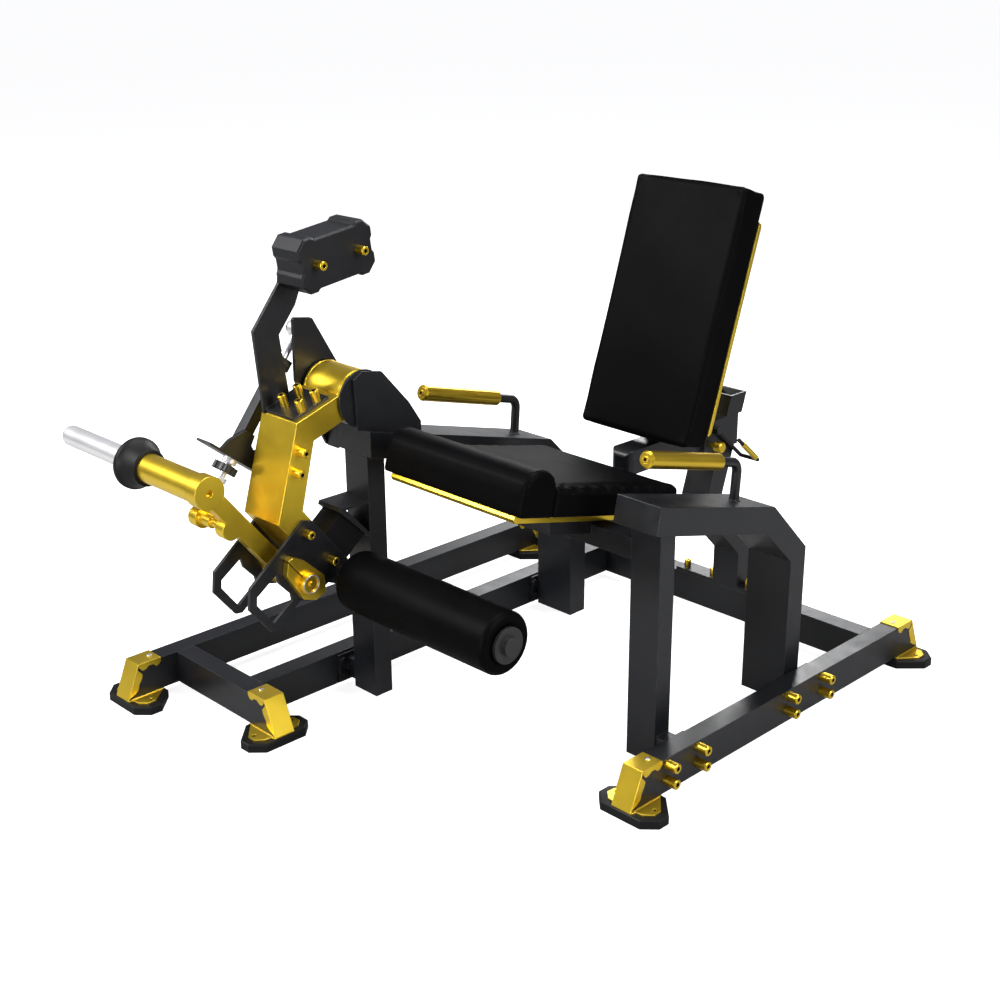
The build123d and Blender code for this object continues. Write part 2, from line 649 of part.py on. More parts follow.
def seat():
    x0 = SEAT_X - SEAT_HALF
    x1 = SEAT_X + SEAT_HALF
    roll = [(-40, -46), (53, -46), (53, 8), (50, 27), (38, 43), (22, 51), (5, 54), (-12, 51), (-28, 43),
            (-40, 27), (-43, 6), (-43, -38)]
    emit("thigh_roll", slab([seat_point(*p) for p in roll], x0, x1))
    cushion = [(53.6, -46), (SEAT_REAR, -46), (SEAT_REAR, 18), (53.6, 18)]
    cushion_shape = slab([seat_point(*p) for p in cushion], x0, x1)
    emit("seat_cushion", fillet(cushion_shape.edges().filter_by(GeomType.LINE).group_by(Axis.Z)[-1], 6))
    tray = [(-33, -46.3), (450, -46.3), (450, -54), (440, -62), (-30, -62), (-36, -54)]
    emit("seat_tray", slab([seat_point(*p) for p in tray], x0 + 20, x1 - 25))
    pan = [(80, -62), (440, -62), (440, -92), (86, -92)]
    recess = [(92, -67), (434, -67), (434, -99), (92, -99)]
    frame = slab([seat_point(*p) for p in pan], x0 + 45, x1 - 30)
    frame -= slab([seat_point(*p) for p in recess], x0 + 51, x1 - 36)
    frame += slab([seat_point(*p) for p in ((92, -67), (434, -67), (434, -92), (92, -92))], 725, 785)
    right_side = SEAT_X - HANDLE_OFFSET + ARCH_W / 2
    cross = block(right_side + 8, 1054, 516, 564, 492, 540)
    cross -= slab([seat_point(*p) for p in ((0, -92), (450, -92), (450, 50), (0, 50))], x0 + 45, x1 - 30)
    cross -= slab([seat_point(*p) for p in ((0, -62), (450, -62), (450, 50), (0, 50))], x0, x1)
    frame += cross
    frame += block(right_side, right_side + 8, 505, 575, 485, 590)
    emit("seat_frame", frame)


# ---------------------------------------------------------------- backrest

POST_FRONT_AT_FLOOR = 1054 - 237 * POST_LEAN
POST_DEPTH = 62.0
POST_TOP = 656.0
SLEEVE_Y = (1090.0, 1222.0)
SLEEVE_HALF = 40.0
BAIL_PIVOT = (1122.0, 585.0)
BAIL_END = (1228.0, 494.0)
PULL_PIN = (1116.0, 545.0)


def leaning_box(low, high, wall=0.0):
    """Leaning rectangle of the post between two heights, inset by a wall."""
    front_low = POST_FRONT_AT_FLOOR + low * POST_LEAN + wall
    front_high = POST_FRONT_AT_FLOOR + high * POST_LEAN + wall
    depth = POST_DEPTH - 2 * wall
    outline = [(front_low, low), (front_high, high), (front_high + depth, high), (front_low + depth, low)]
    return slab(outline, SEAT_X - 40 + wall, SEAT_X + 40 - wall)


def back_post():
    """Cranked box post: upright on the rear cross-beam, then forward and up to the sleeve."""
    low = RAIL_Z[1] + 10
    z_mid = (SLIDE_Z[0] + SLIDE_Z[1]) / 2
    z_knee = 400.0
    y_knee = POST_FRONT_AT_FLOOR + z_knee * POST_LEAN
    rear_y = CROSS_Y + RAIL_W
    crank = [
        (CROSS_Y, low), (rear_y, low), (rear_y, 262), (y_knee + POST_DEPTH, z_knee), (y_knee, z_knee),
        (y_knee + 22, 335), (CROSS_Y, 212),
    ]
    hollow = offset(make_face(Polyline(*crank, close=True)), -5)
    foot = slab(crank, SEAT_X - 40, SEAT_X + 40)
    foot -= Pos(SEAT_X - 35, 0, 0) * extrude(Plane.YZ * hollow, amount=70, dir=(1, 0, 0))
    post = foot + (leaning_box(z_knee, z_mid - SLEEVE_HALF) - leaning_box(z_knee + 5, 700, 5))
    return post + block(SEAT_X - 165, SEAT_X + 165, CROSS_Y, rear_y, RAIL_Z[1], low)


def slide_sleeve():
    """Square sleeve on the post, with the post's open top welded above it."""
    z_mid = (SLIDE_Z[0] + SLIDE_Z[1]) / 2
    half = SLEEVE_HALF
    inner = SLIDE_HALF + SLIDE_GAP
    sleeve = block(SEAT_X - half, SEAT_X + half, *SLEEVE_Y, z_mid - half, z_mid + half)
    sleeve -= block(SEAT_X - inner, SEAT_X + inner, 1000, 1400, z_mid - inner, z_mid + inner)
    sleeve += leaning_box(z_mid + half, POST_TOP) - leaning_box(z_mid + half, POST_TOP + 5, 5)
    x = SEAT_X + half
    sleeve -= disc(PULL_PIN, 6 + RUNNING, x - 20, x + 20)
    sleeve += disc(BAIL_PIVOT, 5, x, x + 18) + disc(BAIL_PIVOT, 9, x + 16, x + 20)
    return sleeve


def release_bail():
    """Hand bail of round rod, hinged at the side of the sleeve and open at its free end."""
    x = SEAT_X + SLEEVE_HALF
    hub = ring(BAIL_PIVOT, 11, 5 + RUNNING, x + 2, x + 15)
    direction = (BAIL_END[0] - BAIL_PIVOT[0], BAIL_END[1] - BAIL_PIVOT[1])
    length = hypot(*direction)
    direction = (direction[0] / length, direction[1] / length)
    bail = hub + rod_along(shifted(BAIL_PIVOT, direction, 8), direction, 5, length - 8, x + 8.5)
    far_x = x + 62
    bail += disc(BAIL_END, 5, x + 8.5, far_x) + Pos(x + 8.5, *BAIL_END) * Sphere(5)
    bail += Pos(far_x, *BAIL_END) * Sphere(5)
    return bail + rod_along(BAIL_END, (-direction[0], -direction[1]), 5, length - 30, far_x)


def pull_pin():
    x = SEAT_X + SLEEVE_HALF
    pin = disc(PULL_PIN, 6, x - 9, x + 24)
    knob = disc(PULL_PIN, 14, x + 14, x + 36)
    return pin + chamfer(knob.edges().filter_by(GeomType.CIRCLE), 2.5)


def backrest():
    emit("back_post", back_post())
    emit("slide_sleeve", slide_sleeve())
    emit("release_lever", release_bail())
    emit("pull_pin", pull_pin())
    tube = block(SEAT_X - SLIDE_HALF, SEAT_X + SLIDE_HALF, 815, 1200, *SLIDE_Z)
    tube = fillet(tube.faces().sort_by(Axis.Y)[0].edges(), 18)
    bore = block(SEAT_X - SLIDE_HALF + 5, SEAT_X + SLIDE_HALF - 5, 850, 1300, SLIDE_Z[0] + 5, SLIDE_Z[1] - 5)
    emit("slide_tube", tube - bore)
    upright = slab([back_point(*p) for p in ((850, 702), (1250, 702), (1250, 742), (850, 742))], 725, 785)
    upright -= block(700, 800, 800, 1200, 400, SLIDE_Z[1])
    for t in (985, 1205):
        bar = [back_point(*p) for p in ((t, 702), (t + 45, 702), (t + 45, 710), (t, 710))]
        upright += slab(bar, SEAT_X - 120, SEAT_X + 120)
    emit("back_bracket", upright)
    panel = [(900, 692), (1406, 692), (1402, 699), (1396, 702), (912, 702), (904, 699)]
    emit("back_panel", slab([back_point(*p) for p in panel], SEAT_X - 160, SEAT_X + 163))
    pad = [(862, 608), (1474, 608), (1474, 691.7), (870, 691.7)]
    cushion = slab([back_point(*p) for p in pad], SEAT_X - 165, SEAT_X + 165)
    emit("back_cushion", fillet(cushion.edges(), 9))


# ---------------------------------------------------------------- fasteners of the frame

def frame_fasteners():
    bolts = []
    for y in (450, 554, 884, 1021):
        for z in (54, 92):
            bolts.append(bolt_x(LEFT_X + RAIL_W, (y, z), 11.5, 30))
    for side in (-1, 1):
        centre = shifted(GRIP_START, GRIP_DIR, 5)
        base = Plane(
            origin=(SEAT_X + side * HANDLE_OFFSET, *centre), x_dir=(1, 0, 0),
            z_dir=(0, -GRIP_DIR[0], -GRIP_DIR[1]),
        )
        bolts.append(base * socket_bolt(8, 7))
    for side in (-145, -58, 58, 145):
        bolts.append(Pos(SEAT_X + side, 1277, 116) * socket_bolt(9, 18))
    emit("frame_bolts", *bolts)
    nuts = []
    inner_face = INNER_X + RAIL_W + 8
    for y in (281, 351, 946, 1022):
        for z in (48, 86):
            nut = extrude(RegularPolygon(11, 6), amount=9)
            nuts.append(Pos(inner_face, y, z) * Rot(0, 90, 0) * nut)
    emit("frame_nuts", *nuts)


def main():
    os.makedirs("parts", exist_ok=True)
    base_frame()
    arches()
    pivot_tower()
    swing_arm()
    loading_lever()
    link()
    seat()
    backrest()
    frame_fasteners()


main()
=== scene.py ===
import bpy
import json
import math
from mathutils import Matrix, Vector
from mathutils.bvhtree import BVHTree


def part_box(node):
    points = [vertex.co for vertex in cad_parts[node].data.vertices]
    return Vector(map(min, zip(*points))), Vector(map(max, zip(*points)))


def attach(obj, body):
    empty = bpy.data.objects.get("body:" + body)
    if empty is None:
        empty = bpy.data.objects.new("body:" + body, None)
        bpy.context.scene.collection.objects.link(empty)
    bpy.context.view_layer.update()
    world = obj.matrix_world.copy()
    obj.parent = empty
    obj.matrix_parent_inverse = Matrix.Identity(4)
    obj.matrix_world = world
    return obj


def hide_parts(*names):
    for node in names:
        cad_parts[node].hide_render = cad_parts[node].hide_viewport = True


# Looks of the leg extension machine. Metres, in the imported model's frame.

# camera
CAMERA_PLACE = (2.442, -2.4095, 1.7461)
CAMERA_AZIMUTH = math.radians(45.74)
CAMERA_ELEVATION = math.radians(20.54)
CAMERA_ROLL = math.radians(-0.44)
LENS = 54.62
SENSOR = 36.0

# object
CENTRE_X = 0.2025              # centre plane of the seat
ROLL_CENTRE = Vector((CENTRE_X, -0.326, 0.663))
SEAT_TILT = math.radians(-14.0)
SEAT_ALONG = Vector((0.0, math.cos(SEAT_TILT), math.sin(SEAT_TILT)))
SEAT_UP = Vector((0.0, -math.sin(SEAT_TILT), math.cos(SEAT_TILT)))
SEAT_HALF = 0.215
BACK_FOOT = Vector((CENTRE_X, -0.646, 0.0))
BACK_ALONG = Vector((0.0, 0.316, 0.949))
BACK_OUT = Vector((0.0, 0.949, -0.316))
BACK_HALF = 0.165
SEAT_BOARD = -0.046            # top of the board under the seat, from the roll's centre
ROLL_BACK = 0.053              # back of the thigh roll along the seat
SEAT_FRONT = 0.0536            # front of the flat cushion, just clear of the roll
BACK_BOARD = 0.6917            # front of the backrest's panel
HANDLE_FOOT = (0.1625, 0.5605)   # where each handle meets its arch
ARCH_SLOPE = math.radians(-14.85)
AXLE_RADIUS = 0.0132
HORN_RADIUS = 0.0253

# padding
VOXEL = 0.006
PRESSURE = 4.0
PROUD = 0.002                  # least that stuffing stands out of the plain solid
SIM_FRAMES = 16
PINNED_DEPTH = 0.0035          # cloth nearer than this to the board is held
PIPING = 0.0012

# studio: name, place, height aimed at, size, watts
LIGHTS = [
    ("key", (-2.2, -3.2, 3.4), 0.5, (1.9, 1.9), 240),
    ("side", (4.4, 0.6, 2.6), 0.5, (1.4, 2.8), 190),
    ("top", (0.2, 0.5, 4.4), 0.4, (2.4, 1.8), 150),
    ("rim", (-2.2, 3.4, 2.4), 0.7, (2.2, 1.2), 80),
    ("low", (1.4, -4.6, 1.2), 0.5, (2.0, 1.0), 110),
]
FLOOR_HALF = 60.0

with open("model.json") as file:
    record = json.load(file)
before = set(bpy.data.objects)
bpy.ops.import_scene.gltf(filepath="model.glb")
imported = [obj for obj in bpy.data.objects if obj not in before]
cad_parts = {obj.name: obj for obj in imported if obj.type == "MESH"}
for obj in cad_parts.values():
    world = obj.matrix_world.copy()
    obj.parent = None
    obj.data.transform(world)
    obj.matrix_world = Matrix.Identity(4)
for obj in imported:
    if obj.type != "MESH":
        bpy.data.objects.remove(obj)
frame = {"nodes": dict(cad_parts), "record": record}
NODES = frame["nodes"]
SLOT_OF = {s["node"]: s["material_slot"] for s in frame["record"]["subparts"]}
BODY_OF = {n: b for b, members in frame["record"]["behaviour"]["bodies"].items() for n in members}
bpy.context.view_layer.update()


# ---------------------------------------------------------------- materials

def node_of(tree, kind, **inputs):
    """New shader node with the named input values set or linked."""
    made = tree.nodes.new(kind)
    for name, value in inputs.items():
        socket = made.inputs[name.replace("_", " ")]
        if isinstance(value, bpy.types.NodeSocket):
            tree.links.new(value, socket)
        else:
            socket.default_value = value
    return made


def noise(tree, coords, scale, detail=4.0, rough=0.55):
    made = node_of(tree, "ShaderNodeTexNoise", Vector=coords, Scale=scale, Detail=detail, Roughness=rough)
    return made.outputs["Fac"]


def ranged(tree, value, low, high, from_low=0.3, from_high=0.7):
    """Value remapped and clamped from one range into another."""
    made = node_of(tree, "ShaderNodeMapRange")
    made.inputs["From Min"].default_value = from_low
    made.inputs["From Max"].default_value = from_high
    made.inputs["To Min"].default_value = low
    made.inputs["To Max"].default_value = high
    tree.links.new(value, made.inputs["Value"])
    return made.outputs["Result"]


def mixed(tree, factor, a, b):
    """Colour mix; a and b are sockets or RGB triples. The node's colours are its inputs 6 and 7."""
    made = tree.nodes.new("ShaderNodeMix")
    made.data_type = "RGBA"
    tree.links.new(factor, made.inputs["Factor"])
    for index, value in ((6, a), (7, b)):
        if isinstance(value, bpy.types.NodeSocket):
            tree.links.new(value, made.inputs[index])
        else:
            made.inputs[index].default_value = (*value, 1.0)
    return made.outputs[2]


def math_node(tree, operation, a, b):
    """Clamped arithmetic on two sockets or numbers."""
    made = tree.nodes.new("ShaderNodeMath")
    made.operation = operation
    made.use_clamp = True
    for socket, value in zip(made.inputs, (a, b)):
        if isinstance(value, bpy.types.NodeSocket):
            tree.links.new(value, socket)
        else:
            socket.default_value = value
    return made.outputs[0]


def edge_mask(tree, rounded, coords):
    """Worn edges: where the rounded normal leaves the true one, broken up by noise."""
    true = tree.nodes.new("ShaderNodeNewGeometry").outputs["Normal"]
    dot = tree.nodes.new("ShaderNodeVectorMath")
    dot.operation = "DOT_PRODUCT"
    tree.links.new(rounded, dot.inputs[0])
    tree.links.new(true, dot.inputs[1])
    edge = ranged(tree, dot.outputs["Value"], 1.0, 0.0, 0.80, 0.97)
    patch = ranged(tree, noise(tree, coords, 38.0, 6.0), 0.0, 1.0, 0.40, 0.62)
    return math_node(tree, "MULTIPLY", edge, patch)


def bumped(tree, height, strength, distance, normal):
    """Normal disturbed by a height, on top of an earlier normal if there is one."""
    made = node_of(tree, "ShaderNodeBump", Strength=strength, Distance=distance)
    tree.links.new(height, made.inputs["Height"])
    if normal is not None:
        tree.links.new(normal, made.inputs["Normal"])
    return made.outputs["Normal"]


def surface(name, base, metallic, rough, edge_radius=0.0015, wear=None, grain=(900.0, 0.08),
            mottle=0.14, smudge=0.07, wave=0.05, **constants):
    """Hard-surface material: mottled colour, smudged roughness, fine grain, rounded and worn edges."""
    material = bpy.data.materials.new(name)
    material.use_nodes = True
    tree = material.node_tree
    shader = tree.nodes["Principled BSDF"]
    coords = tree.nodes.new("ShaderNodeTexCoord").outputs["Object"]
    dark = tuple(c * (1 - mottle) for c in base)
    light = tuple(min(1.0, c * (1 + mottle)) for c in base)
    colour = mixed(tree, ranged(tree, noise(tree, coords, 7.0), 0.0, 1.0), dark, light)
    bevel = tree.nodes.new("ShaderNodeBevel")
    bevel.samples = 6
    bevel.inputs["Radius"].default_value = edge_radius
    rounded = bevel.outputs["Normal"]
    if wear is not None:
        colour = mixed(tree, edge_mask(tree, rounded, coords), colour, wear)
    tree.links.new(colour, shader.inputs["Base Color"])
    smudges = ranged(tree, noise(tree, coords, 16.0, 6.0, 0.62), rough - smudge, rough + smudge)
    tree.links.new(smudges, shader.inputs["Roughness"])
    normal = bumped(tree, noise(tree, coords, grain[0], 3.0), grain[1], 0.0004, rounded)
    normal = bumped(tree, noise(tree, coords, 22.0, 2.0), wave, 0.002, normal)
    tree.links.new(normal, shader.inputs["Normal"])
    shader.inputs["Metallic"].default_value = metallic
    for socket, value in constants.items():
        shader.inputs[socket.replace("_", " ")].default_value = value
    return material


def leatherette(name, base, rough):
    """Coated upholstery: pebble grain over soft, wide unevenness."""
    material = bpy.data.materials.new(name)
    material.use_nodes = True
    tree = material.node_tree
    shader = tree.nodes["Principled BSDF"]
    coords = tree.nodes.new("ShaderNodeTexCoord").outputs["Object"]
    dark = tuple(c * 0.75 for c in base)
    light = tuple(c * 1.35 for c in base)
    colour = mixed(tree, ranged(tree, noise(tree, coords, 9.0), 0.0, 1.0), dark, light)
    cells = node_of(tree, "ShaderNodeTexVoronoi", Vector=coords, Scale=620.0, Randomness=1.0)
    pebbles = cells.outputs["Distance"]
    creases = ranged(tree, pebbles, 1.0, 0.82, 0.25, 0.6)
    shaded = node_of(tree, "ShaderNodeHueSaturation", Color=colour)
    tree.links.new(creases, shaded.inputs["Value"])
    tree.links.new(shaded.outputs["Color"], shader.inputs["Base Color"])
    smudges = ranged(tree, noise(tree, coords, 5.0, 3.0, 0.5), rough - 0.03, rough + 0.04)
    tree.links.new(smudges, shader.inputs["Roughness"])
    normal = bumped(tree, pebbles, 0.10, 0.0006, None)
    normal = bumped(tree, noise(tree, coords, 14.0, 2.0), 0.05, 0.004, normal)
    tree.links.new(normal, shader.inputs["Normal"])
    shader.inputs["Specular IOR Level"].default_value = 0.03
    return material


GRAPHITE = (0.0075, 0.0081, 0.0102)
GOLD = (0.92, 0.645, 0.045)

MATERIALS = {
    "frame_paint": surface(
        "graphite_powder_coat", GRAPHITE, 0.25, 0.35, wear=(0.050, 0.052, 0.056), edge_radius=0.0025,
        Coat_Weight=0.12, Coat_Roughness=0.3,
    ),
    "gold_paint": surface(
        "gold_coat", GOLD, 0.95, 0.32, wear=(0.95, 0.70, 0.14), edge_radius=0.0018, mottle=0.05,
        grain=(500.0, 0.003), smudge=0.025, wave=0.006, Coat_Weight=0.12, Coat_Roughness=0.30,
    ),
    "gold_metal": surface(
        "gold_anodised", (0.90, 0.61, 0.05), 1.0, 0.30, wear=(0.92, 0.66, 0.12), edge_radius=0.0008,
        grain=(500.0, 0.003), mottle=0.05, smudge=0.02, wave=0.004, Anisotropic=0.3,
    ),
    "steel": surface(
        "zinc_steel", (0.56, 0.56, 0.57), 1.0, 0.36, wear=(0.75, 0.75, 0.76), edge_radius=0.0006,
        grain=(1200.0, 0.07), mottle=0.12, Anisotropic=0.35,
    ),
    "chrome": surface(
        "polished_chrome", (0.93, 0.93, 0.94), 0.8, 0.33, wear=(0.95, 0.95, 0.95), edge_radius=0.001,
        grain=(300.0, 0.004), mottle=0.04, smudge=0.04, wave=0.004,
    ),
    "black_steel": surface(
        "black_oxide", (0.016, 0.016, 0.017), 0.6, 0.36, wear=(0.16, 0.16, 0.16), edge_radius=0.0006,
        grain=(1200.0, 0.06),
    ),
    "black_plastic": surface(
        "black_moulding", (0.012, 0.012, 0.013), 0.0, 0.42, wear=(0.03, 0.03, 0.03), grain=(1600.0, 0.10),
        edge_radius=0.001,
    ),
    "rubber": surface(
        "black_rubber", (0.0045, 0.0045, 0.005), 0.0, 0.50, wear=(0.012, 0.012, 0.012),
        edge_radius=0.0012, grain=(1100.0, 0.10), mottle=0.2, Specular_IOR_Level=0.18,
    ),
    "upholstery": leatherette("black_leatherette", (0.0016, 0.0016, 0.0019), 0.48),
    "iron": surface(
        "painted_casting", (0.0085, 0.0088, 0.0105), 0.25, 0.42, wear=(0.045, 0.045, 0.048),
        edge_radius=0.003, grain=(420.0, 0.20), Specular_IOR_Level=0.35,
    ),
}


def paint(obj, slot):
    """Give every face the material of one slot."""
    obj.data.materials.clear()
    obj.data.materials.append(MATERIALS[slot])
    for face in obj.data.polygons:
        face.material_index = 0


# ---------------------------------------------------------------- pieces

def mesh_object(name, verts, faces, smooth_angle=40.0):
    """New object from points and faces, smooth except across sharp edges."""
    mesh = bpy.data.meshes.new(name)
    mesh.from_pydata([tuple(v) for v in verts], [], faces)
    mesh.update()
    mesh.shade_smooth()
    mesh.set_sharp_from_angle(angle=math.radians(smooth_angle))
    obj = bpy.data.objects.new(name, mesh)
    bpy.context.scene.collection.objects.link(obj)
    return obj


def settle(obj, slot, body):
    """Finish and carry a new piece: its material and the body it moves with."""
    paint(obj, slot)
    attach(obj, body)
    return obj


def lathe(name, profile, centre, steps=96):
    """Closed ring about the X axis through centre (y, z); profile is a closed list of (x, radius)."""
    verts = []
    for step in range(steps):
        turn = 2 * math.pi * step / steps
        for x, radius in profile:
            verts.append((x, centre[0] + radius * math.cos(turn), centre[1] + radius * math.sin(turn)))
    count = len(profile)
    faces = []
    for step in range(steps):
        after = (step + 1) % steps
        for i in range(count):
            j = (i + 1) % count
            faces.append((step * count + i, step * count + j, after * count + j, after * count + i))
    return mesh_object(name, verts, faces)


def tube_loop(name, points, radius, closed=True):
    """Round cord through the points, as a mesh."""
    curve = bpy.data.curves.new(name, "CURVE")
    curve.dimensions = "3D"
    curve.bevel_depth = radius
    curve.bevel_resolution = 2
    spline = curve.splines.new("POLY")
    spline.points.add(len(points) - 1)
    for place, point in zip(spline.points, points):
        place.co = (*point, 1.0)
    spline.use_cyclic_u = closed
    curve.use_fill_caps = not closed
    holder = bpy.data.objects.new(name + "_curve", curve)
    bpy.context.scene.collection.objects.link(holder)
    mesh = evaluated_mesh(holder)
    bpy.data.objects.remove(holder)
    mesh.name = name
    mesh.shade_smooth()
    obj = bpy.data.objects.new(name, mesh)
    bpy.context.scene.collection.objects.link(obj)
    return obj


def evaluated_mesh(obj):
    """Copy of an object's mesh with its modifiers worked out."""
    bpy.context.view_layer.update()
    return bpy.data.meshes.new_from_object(obj.evaluated_get(bpy.context.evaluated_depsgraph_get()))


def apply_modifiers(obj):
    """Keep the result of the modifiers and drop them."""
    mesh = evaluated_mesh(obj)
    obj.modifiers.clear()
    obj.data = mesh


def inflate(obj, pinned):
    """Cloth pressure on a closed mesh, with the vertices that rest on the board pinned."""
    group = obj.vertex_groups.new(name="board")
    group.add(pinned, 1.0, "REPLACE")
    cloth = obj.modifiers.new("cloth", "CLOTH")
    cloth.settings.quality = 4
    cloth.settings.mass = 0.3
    cloth.settings.tension_stiffness = 15
    cloth.settings.compression_stiffness = 15
    cloth.settings.shear_stiffness = 5
    cloth.settings.bending_stiffness = 0.8
    cloth.settings.use_pressure = True
    cloth.settings.uniform_pressure_force = PRESSURE
    cloth.settings.vertex_group_mass = "board"
    cloth.settings.effector_weights.gravity = 0.0
    cloth.point_cache.frame_start = 1
    cloth.point_cache.frame_end = SIM_FRAMES
    for number in range(1, SIM_FRAMES + 1):
        bpy.context.scene.frame_set(number)
    apply_modifiers(obj)
    bpy.context.scene.frame_set(1)


def remeshed_copy(node, along, up):
    """Even mesh of a plain solid, gridded along the cushion's own directions."""
    obj = bpy.data.objects.new(node + "_padded", NODES[node].data.copy())
    bpy.context.scene.collection.objects.link(obj)
    own = Matrix((Vector((1, 0, 0)), along, up)).transposed().to_4x4()
    obj.data.transform(own.inverted())
    remesh = obj.modifiers.new("remesh", "REMESH")
    remesh.mode = "VOXEL"
    remesh.voxel_size = VOXEL
    apply_modifiers(obj)
    obj.data.transform(own)
    return obj


def cap_swelling(obj, rest, outward, inset, cap, walls):
    """Hold each point between a little proud of the solid and the cap, and behind the walls."""
    for vertex, home, normal in zip(obj.data.vertices, rest, outward):
        moved = vertex.co - home
        moved += normal * max(0.0, inset + PROUD - moved.dot(normal))
        vertex.co = home + moved * min(1.0, cap / moved.length)
        for point, wall_normal in walls:
            depth = (vertex.co - point).dot(wall_normal)
            if depth > 0:
                vertex.co -= wall_normal * depth


def cushion(node, along, up, inset, cap, walls):
    """Stuffed piece grown from a slightly smaller copy of its plain solid.

    walls are (point, normal) planes that it presses against and never crosses. The first is the
    board that it is fixed to.
    """
    obj = remeshed_copy(node, along, up)
    shrink(obj, inset, walls)
    rest = [v.co.copy() for v in obj.data.vertices]
    outward = [v.normal.copy() for v in obj.data.vertices]
    board, board_normal = walls[0]
    heights = [(place - board).dot(board_normal) for place in rest]
    pinned = [index for index, height in enumerate(heights) if height > -PINNED_DEPTH]
    inflate(obj, pinned)
    cap_swelling(obj, rest, outward, inset, cap, walls)
    smooth = obj.modifiers.new("smooth", "SMOOTH")
    smooth.factor = 0.5
    smooth.iterations = 3
    rounded = obj.modifiers.new("rounded", "SUBSURF")
    rounded.levels = 1
    rounded.render_levels = 1
    apply_modifiers(obj)
    obj.data.shade_smooth()
    settle(obj, SLOT_OF[node], BODY_OF[node])
    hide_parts(node)
    return obj


def shrink(obj, inset, walls):
    """Draw the free sides in by inset along the normals, and keep the sides on a wall."""
    for vertex in obj.data.vertices:
        vertex.co -= vertex.normal * inset
    for point, normal in walls:
        for vertex in obj.data.vertices:
            depth = (vertex.co - point).dot(normal)
            if -inset * 1.6 < depth < 0:
                vertex.co -= normal * depth


def laid_on(cushion_obj, points, radius):
    """Nearest points on a cushion's skin, each sunk by a quarter of the cord's radius."""
    tree = BVHTree.FromObject(cushion_obj, bpy.context.evaluated_depsgraph_get())
    placed = []
    for point in points:
        found, normal, _, _ = tree.find_nearest(Vector(point))
        placed.append(found - normal * radius * 0.25)
    return placed


def eased(points, passes=4):
    """Closed run of points, each drawn towards the middle of its neighbours."""
    for _ in range(passes):
        before = points[-1:] + points[:-1]
        after = points[1:] + points[:1]
        points = [p * 0.5 + (a + b) * 0.25 for p, a, b in zip(points, before, after)]
    return points


def seam(name, cushion_obj, points, radius, body):
    """Piped seam round a cushion, laid along a guide loop."""
    placed = eased(laid_on(cushion_obj, points, radius))
    return settle(tube_loop(name, placed, radius), "upholstery", body)


def rounded_loop(centre, along, across, half_along, half_across, corner, count=28):
    """Points of a rounded rectangle in the plane of two directions."""
    points = []
    for index, (a, b) in enumerate(((1, 1), (-1, 1), (-1, -1), (1, -1))):
        pivot = centre + along * (a * (half_along - corner)) + across * (b * (half_across - corner))
        for step in range(count + 1):
            turn = math.pi / 2 * (index + step / count)
            spoke = along * (corner * math.cos(turn)) + across * (corner * math.sin(turn))
            points.append(pivot + spoke)
    dense = []
    for first, second in zip(points, points[1:] + points[:1]):
        pieces = max(1, int((second - first).length / 0.012))
        dense += [first.lerp(second, k / pieces) for k in range(pieces)]
    return dense


def seat_point(s, n, x=CENTRE_X):
    """Point s along the seat and n above it, from the roll's centre."""
    place = ROLL_CENTRE + SEAT_ALONG * s + SEAT_UP * n
    return Vector((x, place.y, place.z))


def back_point(t, n, x=CENTRE_X):
    """Point t up the backrest and n in front of it."""
    place = BACK_FOOT + BACK_ALONG * t + BACK_OUT * n
    return Vector((x, place.y, place.z))


def seat_pads():
    """Flat cushion and thigh roll, which meet along the seat and stand on one board."""
    seat = cushion(
        "seat_cushion", SEAT_ALONG, SEAT_UP, 0.004, 0.008,
        [(seat_point(0, SEAT_BOARD), -SEAT_UP), (seat_point(SEAT_FRONT, 0), -SEAT_ALONG)],
    )
    roll = cushion(
        "thigh_roll", SEAT_ALONG, SEAT_UP, 0.003, 0.005,
        [(seat_point(0, SEAT_BOARD), -SEAT_UP), (seat_point(ROLL_BACK, 0), SEAT_ALONG)],
    )
    return seat, roll


def roll_end_guide(x):
    """Line up the front, over the top and down the back of the thigh roll's end."""
    guide = [seat_point(-0.043, -0.045, x), seat_point(-0.043, 0.0, x)]
    for step in range(1, 24):
        turn = math.pi * (1 - step / 24)
        guide.append(seat_point(0.005 + 0.05 * math.cos(turn), 0.004 + 0.05 * math.sin(turn), x))
    return guide


def soft_goods():
    """Padded seat, thigh roll and backrest with their seams."""
    seat, roll = seat_pads()
    back_walls = [(back_point(0, BACK_BOARD), BACK_OUT)]
    back = cushion("back_cushion", BACK_ALONG, BACK_OUT, 0.003, 0.007, back_walls)
    for side, name in ((-1, "roll_seam_right"), (1, "roll_seam_left")):
        guide = roll_end_guide(CENTRE_X + side * (SEAT_HALF - 0.009))
        open_seam(name, roll, guide, 0.0013, "frame")
    across = Vector((1, 0, 0))
    guide = rounded_loop(back_point(1.168, 0.618), BACK_ALONG, across, 0.303, BACK_HALF, 0.03)
    seam("back_seam", back, guide, 0.0011, "backrest")
    guide = rounded_loop(seat_point(0.2588, 0.004), SEAT_ALONG, across, 0.2, SEAT_HALF, 0.02)
    seam("seat_seam", seat, guide, PIPING, "frame")


def open_seam(name, cushion_obj, points, radius, body):
    """Piped seam with two free ends, laid along a guide line."""
    placed = laid_on(cushion_obj, points, radius)
    return settle(tube_loop(name, placed, radius, closed=False), "upholstery", body)


def arc(x, radius, corner, start, stop, count=8):
    """Quarter-round stretch of a lathe profile about (x, radius)."""
    points = []
    for step in range(count + 1):
        turn = math.radians(start + (stop - start) * step / count)
        points.append((x + corner * math.cos(turn), radius + corner * math.sin(turn)))
    return points


